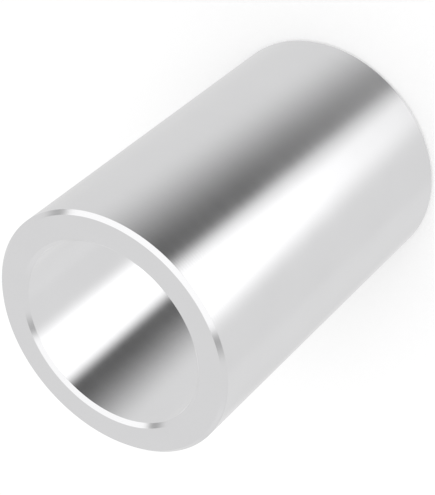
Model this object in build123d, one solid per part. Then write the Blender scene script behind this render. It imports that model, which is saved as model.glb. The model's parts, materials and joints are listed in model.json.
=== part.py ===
"""A plain spacer sleeve: a short round tube turned from bar, with flat square ends
and all four rims broken by a small chamfer. Millimetres, +Z along the tube's axis.
The origin is on the axis, in the plane of the end that the sleeve stands on."""

import os

from build123d import *

# Driving dimensions
bore_diameter = 15.0  # the shaft or bolt that passes through
wall = 2.5  # from the bore to the outside
length = 30.0  # over the two end faces, which set the spacing
outer_chamfer = 0.3  # 45 degrees, on both outer rims
bore_chamfer = 0.3  # 45 degrees, on both mouths of the bore

bore_radius = bore_diameter / 2


def wall_section():
    """The wall cut lengthwise on one side of the axis, as the turning tool leaves it."""
    with BuildSketch(Plane.XZ) as section:
        with Locations((bore_radius, 0)):
            Rectangle(wall, length, align=(Align.MIN, Align.MIN))
        by_distance = section.vertices().sort_by(Axis.X)
        chamfer(by_distance[2:], length=outer_chamfer)
        by_distance = section.vertices().sort_by(Axis.X)
        chamfer(by_distance[:2], length=bore_chamfer)
    return section.sketch


def turned_sleeve():
    """The section turned once round the axis: outside, bore, two ends and four rims."""
    with BuildPart() as sleeve:
        add(wall_section())
        revolve(axis=Axis.Z)
    return sleeve.part


def main():
    os.makedirs("parts", exist_ok=True)
    sleeve = turned_sleeve()
    export_step(sleeve, "parts/sleeve.step")
    print("sleeve", sleeve.bounding_box().size, "volume", round(sleeve.volume, 2))


main()
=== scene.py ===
# Spacer sleeve: a short round steel tube, turned, bored and faced, with four chamfered rims.
import json
from math import cos, pi, radians, sin

import bpy
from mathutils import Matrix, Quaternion, Vector


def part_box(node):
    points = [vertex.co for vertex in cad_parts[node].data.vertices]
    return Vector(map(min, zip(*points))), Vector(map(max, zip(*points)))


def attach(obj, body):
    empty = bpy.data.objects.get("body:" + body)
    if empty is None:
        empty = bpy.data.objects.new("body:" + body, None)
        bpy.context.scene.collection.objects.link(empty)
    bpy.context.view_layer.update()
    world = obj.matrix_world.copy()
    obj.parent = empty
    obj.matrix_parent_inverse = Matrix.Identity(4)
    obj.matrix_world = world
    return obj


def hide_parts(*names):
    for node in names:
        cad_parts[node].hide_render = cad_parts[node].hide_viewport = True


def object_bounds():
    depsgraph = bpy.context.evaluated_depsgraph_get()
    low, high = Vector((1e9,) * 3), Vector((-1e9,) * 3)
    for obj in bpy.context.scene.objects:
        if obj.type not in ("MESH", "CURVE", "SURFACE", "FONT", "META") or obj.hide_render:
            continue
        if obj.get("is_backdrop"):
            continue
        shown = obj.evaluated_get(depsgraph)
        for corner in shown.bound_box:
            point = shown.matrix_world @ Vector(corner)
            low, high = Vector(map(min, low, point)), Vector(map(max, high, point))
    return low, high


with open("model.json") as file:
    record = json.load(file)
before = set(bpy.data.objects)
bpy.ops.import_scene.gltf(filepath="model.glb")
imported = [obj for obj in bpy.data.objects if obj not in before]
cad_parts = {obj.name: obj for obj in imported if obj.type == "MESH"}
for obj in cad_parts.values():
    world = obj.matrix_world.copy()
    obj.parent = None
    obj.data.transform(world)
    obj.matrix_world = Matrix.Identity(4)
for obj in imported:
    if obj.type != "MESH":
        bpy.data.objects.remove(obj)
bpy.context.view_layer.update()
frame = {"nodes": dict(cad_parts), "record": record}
print("frame loaded:", ", ".join(sorted(frame["nodes"])))


# helpers for every node tree below: geometry, metal, floor and studio

def feed(tree, socket, value):
    # another node's output is linked, anything else is set as it stands
    if isinstance(value, bpy.types.NodeSocket):
        tree.links.new(value, socket)
    else:
        socket.default_value = value


def addNode(tree, kind, inputs, **choices):
    node = tree.nodes.new(kind)
    for name, value in choices.items():
        setattr(node, name, value)
    for name, value in inputs.items():
        feed(tree, node.inputs[name], value)
    return node


def calc(tree, operation, *values, clamp=False):
    node = addNode(tree, "ShaderNodeMath", {}, operation=operation, use_clamp=clamp)
    for socket, value in zip(node.inputs, values):
        feed(tree, socket, value)
    return node.outputs[0]


# the sleeve: its wall's section swept once round the axis

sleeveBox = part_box("sleeve")
boreMount = next(m for m in frame["record"]["mounts"] if m["name"] == "bore")
sleeveLength = sleeveBox[1].z - sleeveBox[0].z
boreWall = boreMount["dims"]["length_mm"] / 1000  # the straight part, between the two mouths' chamfers

sleeve = {
    "Outer Radius": (sleeveBox[1].x - sleeveBox[0].x) / 2,
    "Bore Radius": boreMount["dims"]["r_mm"] / 1000,
    "Length": sleeveLength,
    "Chamfer": (sleeveLength - boreWall) / 2,  # 45 degrees, the same on all four rims
    "Edge Round": 0.00002,  # what deburring leaves on a sharp edge
    "Round Steps": 3,
    "Around": 360,
    "Loop Spacing": 0.0015,
}


def sleeveTree():
    tree = bpy.data.node_groups.new("turnedSleeve", "GeometryNodeTree")
    for name, value in sleeve.items():
        kind = "NodeSocketInt" if isinstance(value, int) else "NodeSocketFloat"
        tree.interface.new_socket(name, in_out="INPUT", socket_type=kind)
    tree.interface.new_socket("Metal", in_out="INPUT", socket_type="NodeSocketMaterial")
    tree.interface.new_socket("Sleeve", in_out="OUTPUT", socket_type="NodeSocketGeometry")
    size = addNode(tree, "NodeGroupInput", {}).outputs

    # the section: a rectangle as thick as the wall, its corners chamfered, each edge then broken
    wall = calc(tree, "SUBTRACT", size["Outer Radius"], size["Bore Radius"])
    wallMiddle = calc(tree, "MULTIPLY_ADD", wall, 0.5, size["Bore Radius"])
    section = addNode(tree, "GeometryNodeCurvePrimitiveQuadrilateral",
                      {"Width": wall, "Height": size["Length"]}, mode="RECTANGLE")
    chamfered = addNode(tree, "GeometryNodeFilletCurve",
                        {"Curve": section.outputs[0], "Count": 1, "Radius": size["Chamfer"]}, mode="POLY")
    broken = addNode(tree, "GeometryNodeFilletCurve",
                     {"Curve": chamfered.outputs[0], "Count": size["Round Steps"],
                      "Radius": size["Edge Round"]}, mode="POLY")

    # the long straight runs get a loop every so often, the short ones none
    position = addNode(tree, "GeometryNodeInputPosition", {}).outputs[0]
    following = addNode(tree, "GeometryNodeOffsetPointInCurve", {"Offset": 1})
    nextPosition = addNode(tree, "GeometryNodeFieldAtIndex",
                           {"Value": position, "Index": following.outputs["Point Index"]},
                           data_type="FLOAT_VECTOR", domain="POINT")
    run = addNode(tree, "ShaderNodeVectorMath",
                  {0: position, 1: nextPosition.outputs[0]}, operation="DISTANCE")
    cuts = calc(tree, "FLOOR", calc(tree, "DIVIDE", run.outputs["Value"], size["Loop Spacing"]))
    divided = addNode(tree, "GeometryNodeSubdivideCurve", {"Curve": broken.outputs[0], "Cuts": cuts})

    # how far along the section and how far round each point lies, for the tool marks and the map
    spline = addNode(tree, "GeometryNodeSplineParameter", {})
    outline = addNode(tree, "GeometryNodeStoreNamedAttribute",
                      {"Geometry": divided.outputs[0], "Name": "along", "Value": spline.outputs["Length"]},
                      data_type="FLOAT", domain="POINT")
    circle = addNode(tree, "GeometryNodeCurvePrimitiveCircle",
                     {"Resolution": size["Around"], "Radius": wallMiddle}, mode="RADIUS")
    path = addNode(tree, "GeometryNodeStoreNamedAttribute",
                   {"Geometry": circle.outputs[0], "Name": "around", "Value": spline.outputs["Factor"]},
                   data_type="FLOAT", domain="POINT")
    swept = addNode(tree, "GeometryNodeCurveToMesh",
                    {"Curve": path.outputs[0], "Profile Curve": outline.outputs[0]})
    wholeRun = addNode(tree, "GeometryNodeCurveLength", {"Curve": outline.outputs[0]}).outputs[0]

    def unrolled(name, whole):
        # at the seam a face runs from the last point back to the first, which then counts as one turn on.
        # a quarter of the way behind the face's middle is far more than any other face reaches
        here = addNode(tree, "GeometryNodeInputNamedAttribute", {"Name": name}, data_type="FLOAT").outputs[0]
        faceMiddle = addNode(tree, "GeometryNodeFieldOnDomain", {"Value": here},
                             data_type="FLOAT", domain="FACE").outputs[0]
        behind = calc(tree, "SUBTRACT", faceMiddle, calc(tree, "MULTIPLY", whole, 0.25))
        return calc(tree, "MULTIPLY_ADD", calc(tree, "LESS_THAN", here, behind), whole, here)

    alongCut = unrolled("along", wholeRun)
    aroundCut = unrolled("around", 1.0)
    marked = addNode(tree, "GeometryNodeStoreNamedAttribute",
                     {"Geometry": swept.outputs[0], "Name": "alongCut",
                      "Value": calc(tree, "MULTIPLY", alongCut, 1000.0)},
                     data_type="FLOAT", domain="CORNER")
    flatPlace = addNode(tree, "ShaderNodeCombineXYZ",
                        {"X": aroundCut, "Y": calc(tree, "DIVIDE", alongCut, wholeRun)})
    mapped = addNode(tree, "GeometryNodeStoreNamedAttribute",
                     {"Geometry": marked.outputs[0], "Name": "OFBake", "Value": flatPlace.outputs[0]},
                     data_type="FLOAT2", domain="CORNER")
    tidied = mapped.outputs[0]
    for name in ("along", "around"):
        tidied = addNode(tree, "GeometryNodeRemoveAttribute", {"Geometry": tidied, "Name": name}).outputs[0]

    # stood on its end, on the plane z = 0
    rise = addNode(tree, "ShaderNodeCombineXYZ", {"Z": calc(tree, "MULTIPLY", size["Length"], 0.5)})
    stood = addNode(tree, "GeometryNodeTransform", {"Geometry": tidied, "Translation": rise.outputs[0]})
    smooth = addNode(tree, "GeometryNodeSetShadeSmooth", {"Geometry": stood.outputs[0]})

    # a point takes mostly its largest face's normal: flats stay flat and only the broken edges turn
    faceNormal = addNode(tree, "GeometryNodeInputNormal", {}).outputs["True Normal"]
    faceArea = addNode(tree, "GeometryNodeInputMeshFaceArea", {}).outputs["Area"]
    byArea = addNode(tree, "ShaderNodeVectorMath", {0: faceNormal, "Scale": faceArea}, operation="SCALE")
    perFace = addNode(tree, "GeometryNodeFieldOnDomain", {"Value": byArea.outputs[0]},
                      data_type="FLOAT_VECTOR", domain="FACE")
    unit = addNode(tree, "ShaderNodeVectorMath", {0: perFace.outputs[0]}, operation="NORMALIZE")
    turnedNormals = addNode(tree, "GeometryNodeSetMeshNormal",
                            {"Mesh": smooth.outputs[0], "Custom Normal": unit.outputs[0]},
                            mode="FREE", domain="POINT")
    real = addNode(tree, "GeometryNodeRealizeInstances", {"Geometry": turnedNormals.outputs[0]})
    finished = addNode(tree, "GeometryNodeSetMaterial",
                       {"Geometry": real.outputs[0], "Material": size["Metal"]})
    addNode(tree, "NodeGroupOutput", {"Sleeve": finished.outputs[0]})
    return tree


def makeSleeve(metal):
    blank = bpy.data.objects.new("sleeveBlank", bpy.data.meshes.new("sleeveBlank"))
    bpy.context.scene.collection.objects.link(blank)
    tree = sleeveTree()
    turning = blank.modifiers.new("turning", "NODES")
    turning.node_group = tree
    values = {**sleeve, "Metal": metal}
    for item in tree.interface.items_tree:
        if item.in_out == "INPUT":
            turning[item.identifier] = values[item.name]
    evaluated = blank.evaluated_get(bpy.context.evaluated_depsgraph_get())
    mesh = bpy.data.meshes.new_from_object(evaluated)
    mesh.name = "turnedSleeve"
    bpy.data.objects.remove(blank)
    piece = bpy.data.objects.new("turnedSleeve", mesh)
    bpy.context.scene.collection.objects.link(piece)
    print("sleeve:", len(mesh.polygons), "faces")
    return piece


# bright turned steel: fine feed marks that follow the tool over every face

steel = {
    "colour": (0.657, 0.656, 0.663),
    "tintSpread": 0.02,
    "edgeTint": 0.898,  # holds back the glare where the metal is seen edge on
    "roughness": 0.156,
    "roughnessSpread": 0.02,
    "anisotropy": 0.15,
    "anisotropyTurn": 0.25,  # a quarter turn, so that the shine stretches across the marks
    "feedMm": 0.25,  # how far the tool moves on in each turn
    "markHeight": 0.0000003,
    "streakMm": 0.6,  # width of the uneven bands among the marks
    "cloudsPerMetre": 260.0,
    "noiseDetail": 2.0,
    "noiseRange": (0.3, 0.7),  # what the noise mostly stays within
}


def makeSteel():
    material = bpy.data.materials.new("brightTurnedSteel")
    material.use_nodes = True
    tree = material.node_tree
    surface = tree.nodes["Principled BSDF"]
    along = addNode(tree, "ShaderNodeAttribute", {},
                    attribute_type="GEOMETRY", attribute_name="alongCut").outputs["Fac"]
    place = addNode(tree, "ShaderNodeTexCoord", {}).outputs["Object"]
    across = addNode(tree, "ShaderNodeSeparateXYZ", {"Vector": place}).outputs
    angle = calc(tree, "ARCTAN2", across["Y"], across["X"])

    # one helical groove, whose depth comes and goes in long streaks round the sleeve
    turns = calc(tree, "DIVIDE", along, steel["feedMm"])
    groove = calc(tree, "SINE", calc(tree, "MULTIPLY_ADD", turns, 2 * pi, angle))
    streakPlace = addNode(tree, "ShaderNodeCombineXYZ",
                          {"X": calc(tree, "COSINE", angle), "Y": calc(tree, "SINE", angle),
                           "Z": calc(tree, "DIVIDE", along, steel["streakMm"])})
    streaks = addNode(tree, "ShaderNodeTexNoise",
                      {"Vector": streakPlace.outputs[0], "Scale": 1.0,
                       "Detail": steel["noiseDetail"]}).outputs["Fac"]
    height = calc(tree, "MULTIPLY_ADD", groove, streaks, streaks)
    bump = addNode(tree, "ShaderNodeBump",
                   {"Strength": 1.0, "Distance": steel["markHeight"], "Height": height})

    # wider, softer clouds for tint and polish
    clouds = addNode(tree, "ShaderNodeTexNoise",
                     {"Vector": place, "Scale": steel["cloudsPerMetre"],
                      "Detail": steel["noiseDetail"]}).outputs["Fac"]
    average = calc(tree, "MULTIPLY_ADD", streaks, 0.5, calc(tree, "MULTIPLY", clouds, 0.5))
    shine = addNode(tree, "ShaderNodeMapRange",
                    {"Value": average,
                     "From Min": steel["noiseRange"][0], "From Max": steel["noiseRange"][1],
                     "To Min": steel["roughness"] - steel["roughnessSpread"],
                     "To Max": steel["roughness"] + steel["roughnessSpread"]})
    light = [c * (1 + steel["tintSpread"]) for c in steel["colour"]] + [1.0]
    dark = [c * (1 - steel["tintSpread"]) for c in steel["colour"]] + [1.0]
    tint = addNode(tree, "ShaderNodeMix", {}, data_type="RGBA")
    feed(tree, tint.inputs["Factor"], clouds)
    tint.inputs[6].default_value = dark
    tint.inputs[7].default_value = light
    tangent = addNode(tree, "ShaderNodeTangent", {}, direction_type="RADIAL", axis="Z")
    for name, value in {"Base Color": tint.outputs[2], "Roughness": shine.outputs[0], "Metallic": 1.0,
                        "Specular Tint": [steel["edgeTint"]] * 3 + [1.0],
                        "Anisotropic": steel["anisotropy"],
                        "Anisotropic Rotation": steel["anisotropyTurn"],
                        "Normal": bump.outputs[0], "Tangent": tangent.outputs[0]}.items():
        feed(tree, surface.inputs[name], value)
    return material


turnedSleeve = makeSleeve(makeSteel())
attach(turnedSleeve, "root")
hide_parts("sleeve")
turnedSleeve.visible_glossy = False  # the bore shows the studio and not its own far wall


# the studio: a plain pale tent, with the cards and the strip light that only the metal shows.
# azimuths run from -90 to 270 degrees, with 0 on the camera's side.
# a card's edge is two numbers: its angle and how many degrees it takes to fade

studio = {
    "surround": 1.0,
    "plainLight": 0.86,  # what the tent gives everything that isn't shiny
    "uprightFrom": -37.0,  # above this height a card's sides are upright
    "foldAzimuth": -12.5,  # further down they draw in towards this azimuth
    "foldLeast": 0.05,  # the narrowest they get, as a share of their full width
    "eyeLevel": (-30.0, 7.0),  # above this edge a card has its upper level
    "ground": 0.45,  # the level straight down, which the bore shows from above
    "groundTop": (-66.0, 22.0),  # an edge too
}

# beside the camera, and seen by the outside and the bore alike
window = {
    "level": 2.28,
    "upperLevel": 1.36,
    "from": (-45.9, 35.9),
    "to": (11.9, 16.9),
    "bottom": (-46.2, 20.3),
    "top": (10.0, 12.0),
}

flag = {
    "level": 0.15,
    "upperLevel": 0.2,
    "from": (-0.3, 28.1),
    "to": (64.4, 78.6),
    "bottom": (-54.7, 29.9),
    "top": (10.0, 12.0),
}

# at eye level, for the sides away from the camera
sideLight = {
    "level": 1.36,
    "from": (92.0, 24.0),
    "to": (128.0, 16.0),
    "bottom": (-31.0, 6.0),
    "top": (-3.0, 12.0),
}

rearFlag = {
    "level": 0.72,
    "from": (170.0, 18.0),
    "to": (190.0, 18.0),
    "bottom": (-20.0, 8.0),
    "top": (-3.0, 12.0),
}

sideFlag = {
    "level": 0.4,
    "from": (226.0, 18.0),
    "to": (254.0, 30.0),
    "bottom": (-31.0, 6.0),
    "top": (-3.0, 12.0),
}

# very faint: the first two keep the outside and its rims from glaring where they turn away
backFlag = {
    "level": 0.9,
    "from": (151.0, 32.0),
    "to": (222.0, 36.0),
    "bottom": (-60.0, 12.0),
    "top": (-39.3, 4.0),
}

rimFlag = {
    "level": 0.9,
    "from": (160.0, 16.0),
    "to": (200.0, 16.0),
    "bottom": backFlag["top"],
    "top": (-21.0, 8.0),
}

sideGlow = {
    "level": 1.045,
    "from": (196.0, 16.0),
    "to": (262.0, 16.0),
    "bottom": (-60.0, 12.0),
    "top": (16.0, 12.0),
}

arch = {
    "level": 1.5,
    "axis": (180.0, 70.0),  # azimuth and elevation that the arched strip light bends round
    "near": (51.5, 6.0),  # its two long edges, in degrees from that axis
    "far": (73.0, 8.5),
    "from": -38.5,  # an end's azimuth at the horizon
    "fromSlant": -0.433,  # how far that azimuth moves on with each degree up
    "fromEnd": 18.6,  # how much further the dark end reaches
    "to": 71.4,
    "toSlant": 1.67,
    "toEnd": 24.3,
    "litSoftness": 16.4,
    "endLevel": 0.551,
    "endSoftness": 22.0,
}


def direction(azimuth, elevation):
    a, e = radians(azimuth), radians(elevation)
    return Vector((sin(a) * cos(e), -cos(a) * cos(e), sin(e)))


def makeStudio():
    world = bpy.data.worlds.new("studio")
    bpy.context.scene.world = world
    world.use_nodes = True
    world.cycles.sampling_method = "NONE"
    tree = world.node_tree
    look = addNode(tree, "ShaderNodeTexCoord", {}).outputs["Generated"]
    part = addNode(tree, "ShaderNodeSeparateXYZ", {"Vector": look}).outputs
    level = calc(tree, "MINIMUM", calc(tree, "MAXIMUM", part["Z"], -1.0), 1.0)
    elevation = calc(tree, "DEGREES", calc(tree, "ARCSINE", level))
    azimuth = calc(tree, "ADD", calc(tree, "DEGREES", calc(tree, "ARCTAN2", part["Y"], part["X"])), 90.0)

    def step(value, edge):
        # 0 below the edge and 1 above it
        angle, softness = edge
        return addNode(tree, "ShaderNodeMapRange",
                       {"Value": value, "From Min": angle - softness / 2, "From Max": angle + softness / 2},
                       interpolation_type="SMOOTHSTEP").outputs[0]

    def between(value, low, high):
        return calc(tree, "SUBTRACT", step(value, low), step(value, high))

    # the cards' sides draw in below a certain height, as the sides of the sleeve and its bore show them
    height = calc(tree, "DIVIDE", calc(tree, "ADD", elevation, 90.0), studio["uprightFrom"] + 90.0)
    height = calc(tree, "MINIMUM", calc(tree, "MAXIMUM", height, studio["foldLeast"]), 1.0)
    off = calc(tree, "SUBTRACT", azimuth, studio["foldAzimuth"])
    folded = calc(tree, "ADD", calc(tree, "DIVIDE", off, height), studio["foldAzimuth"])
    aboveEye = step(elevation, studio["eyeLevel"])

    def uprightCard(card, place):
        area = calc(tree, "MULTIPLY", between(place, card["from"], card["to"]),
                    between(elevation, card["bottom"], card["top"]))
        rise = card.get("upperLevel", card["level"]) - card["level"]
        level = calc(tree, "MULTIPLY_ADD", aboveEye, rise, card["level"] - studio["surround"])
        return calc(tree, "MULTIPLY", area, level)

    # the arched strip light overhead, dark at both its ends, as the chamfers show it
    archDot = addNode(tree, "ShaderNodeVectorMath",
                      {0: look, 1: direction(*arch["axis"])}, operation="DOT_PRODUCT")
    fromAxis = calc(tree, "DEGREES", calc(tree, "ARCCOSINE", archDot.outputs["Value"]))
    fromPlace = calc(tree, "MULTIPLY_ADD", elevation, -arch["fromSlant"], azimuth)
    toPlace = calc(tree, "MULTIPLY_ADD", elevation, -arch["toSlant"], azimuth)

    def alongArch(fromAngle, toAngle, softness):
        return calc(tree, "SUBTRACT", step(fromPlace, (fromAngle, softness)),
                    step(toPlace, (toAngle, softness)))

    lit = alongArch(arch["from"], arch["to"], arch["litSoftness"])
    whole = alongArch(arch["from"] - arch["fromEnd"], arch["to"] + arch["toEnd"], arch["endSoftness"])
    ends = calc(tree, "SUBTRACT", whole, lit)
    alongLevel = calc(tree, "MULTIPLY_ADD", lit, arch["level"] - studio["surround"],
                      calc(tree, "MULTIPLY", ends, arch["endLevel"] - studio["surround"]))
    overhead = calc(tree, "MULTIPLY", alongLevel, between(fromAxis, arch["near"], arch["far"]))

    overGround = step(elevation, studio["groundTop"])
    tent = calc(tree, "MULTIPLY_ADD", overGround, studio["surround"] - studio["ground"], studio["ground"])
    shown = calc(tree, "ADD", overhead, tent)
    for card in (window, flag):
        shown = calc(tree, "ADD", shown, uprightCard(card, folded))
    for card in (sideLight, rearFlag, sideFlag, backFlag, rimFlag, sideGlow):
        shown = calc(tree, "ADD", shown, uprightCard(card, azimuth))

    # shiny things see all that, and the rest sees a plain tent
    ray = addNode(tree, "ShaderNodeLightPath", {}).outputs
    seen = calc(tree, "MAXIMUM", ray["Is Camera Ray"], ray["Is Transmission Ray"])
    plain = addNode(tree, "ShaderNodeMix", {0: seen, 2: studio["plainLight"], 3: 1.0}).outputs[0]
    strengthOut = addNode(tree, "ShaderNodeMix", {0: ray["Is Glossy Ray"], 2: plain, 3: shown}).outputs[0]
    feed(tree, tree.nodes["Background"].inputs["Strength"], strengthOut)
    tree.nodes["Background"].inputs["Color"].default_value = (1.0, 1.0, 1.0, 1.0)


key = {
    "azimuth": 10.0,
    "elevation": 62.0,
    "share": 0.16,  # of the light on the floor
    "angle": 40.0,
}


def makeKey():
    lamp = bpy.data.lights.new("softKey", "SUN")
    lamp.angle = radians(key["angle"])
    lamp.energy = pi * key["share"] / sin(radians(key["elevation"]))
    light = bpy.data.objects.new("softKey", lamp)
    light.rotation_euler = direction(key["azimuth"], key["elevation"]).to_track_quat("Z", "Y").to_euler()
    light.visible_glossy = False
    bpy.context.scene.collection.objects.link(light)


floorLook = {
    "halfWidth": 0.6,  # metres
    "colour": (0.8, 0.8, 0.8, 1.0),
    "liftForCamera": 0.24,  # brings the pale floor up to white in the picture, under its shadow
}


def makeFloor():
    half = floorLook["halfWidth"]
    mesh = bpy.data.meshes.new("floor")
    corners = [(-half, -half, 0), (half, -half, 0), (half, half, 0), (-half, half, 0)]
    mesh.from_pydata(corners, [], [(0, 1, 2, 3)])
    floor = bpy.data.objects.new("floor", mesh)
    bpy.context.scene.collection.objects.link(floor)
    material = bpy.data.materials.new("paleFloor")
    material.use_nodes = True
    tree = material.node_tree
    tree.nodes.remove(tree.nodes["Principled BSDF"])
    cameraRay = addNode(tree, "ShaderNodeLightPath", {}).outputs["Is Camera Ray"]
    matte = addNode(tree, "ShaderNodeBsdfDiffuse", {"Color": floorLook["colour"]})
    lift = addNode(tree, "ShaderNodeEmission",
                   {"Strength": calc(tree, "MULTIPLY", cameraRay, floorLook["liftForCamera"])})
    both = addNode(tree, "ShaderNodeAddShader", {0: matte.outputs[0], 1: lift.outputs[0]})
    feed(tree, tree.nodes["Material Output"].inputs["Surface"], both.outputs[0])
    mesh.materials.append(material)
    floor.visible_glossy = False
    floor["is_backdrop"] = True


makeStudio()
makeKey()
makeFloor()
print("studio: tent, cards, arch, key and floor")


# the camera looks down on the upper end, rolled over so that the sleeve runs up to the right

shot = {
    "lens": 123.1,
    "distance": 0.13029,  # metres
    "elevation": 43.305,
    "aimOffset": (-0.00025, 0.0, 0.0014),  # from the middle of the sleeve
    "roll": -130.48,
}


def makeCamera():
    low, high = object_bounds()
    middle = (low + high) / 2
    data = bpy.data.cameras.new("camera")
    data.lens = shot["lens"]
    data.clip_start = 0.01
    data.clip_end = 10.0
    camera = bpy.data.objects.new("camera", data)
    camera.location = middle + direction(0.0, shot["elevation"]) * shot["distance"]
    aim = middle + Vector(shot["aimOffset"]) - camera.location
    camera.rotation_mode = "QUATERNION"
    camera.rotation_quaternion = aim.to_track_quat("-Z", "Y") @ Quaternion((0, 0, 1), radians(shot["roll"]))
    bpy.context.scene.collection.objects.link(camera)
    bpy.context.scene.camera = camera


makeCamera()
bpy.context.scene.view_settings.view_transform = "Standard"
print("camera set")
